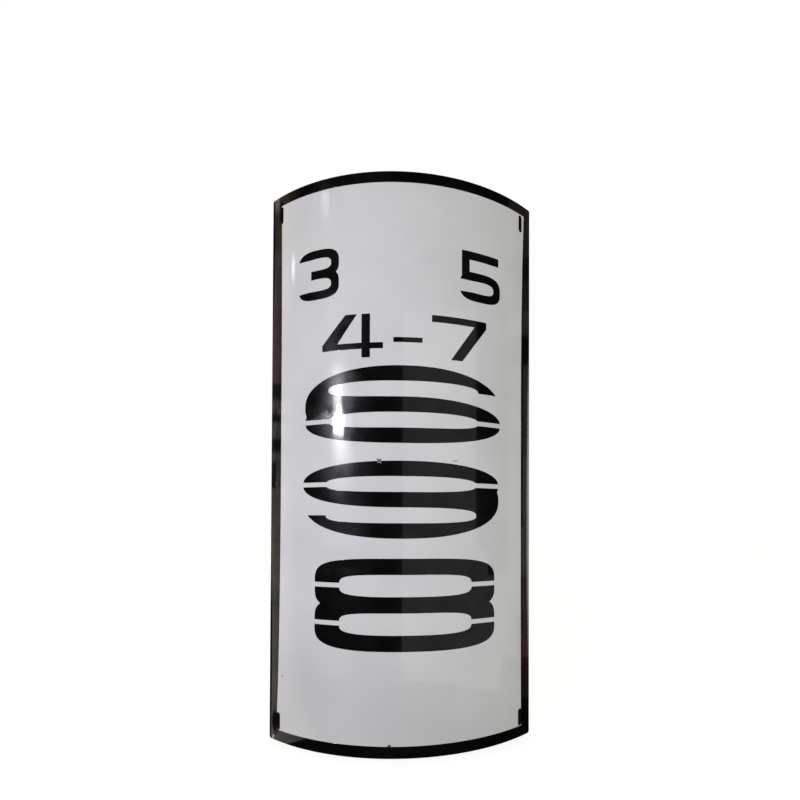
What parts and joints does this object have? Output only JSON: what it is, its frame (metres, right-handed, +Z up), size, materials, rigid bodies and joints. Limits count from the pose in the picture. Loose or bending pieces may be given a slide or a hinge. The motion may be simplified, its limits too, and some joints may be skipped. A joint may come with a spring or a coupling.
{
  "type": "curved enamel number plate",
  "caption": "Curved steel plate, enamelled white with a black border and black stencilled numerals, slotted near its corners for straps round a pole.",
  "frame": {"origin": "middle of the plate's box at the height of its lower edge", "axes": "+Z up along the plate, face towards -Y, +X to the right of someone who reads it"},
  "size_m": [0.1942, 0.0368, 0.4],
  "materials": {
    "steel": "cold-rolled low-carbon steel sheet, sealed inside the enamel",
    "ground_enamel": "near-black ground-coat enamel, glossy, with a faint fleck",
    "white_enamel": "glossy white cover-coat enamel with a slight orange peel",
    "black_enamel": "glossy black enamel fired through a stencil"
  },
  "bodies": {
    "root": {"steel_sheet": "steel", "ground_coat": "ground_enamel", "white_coat": "white_enamel", "black_border": "black_enamel", "top_numeral_left": "black_enamel", "top_numeral_right": "black_enamel", "route_numeral_left": "black_enamel", "route_dash": "black_enamel", "route_numeral_right": "black_enamel", "first_numeral_upper": "black_enamel", "first_numeral_lower": "black_enamel", "second_numeral_upper": "black_enamel", "second_numeral_lower": "black_enamel", "third_numeral_top": "black_enamel", "third_numeral_middle": "black_enamel", "third_numeral_bottom": "black_enamel"}
  },
  "joints": []
}
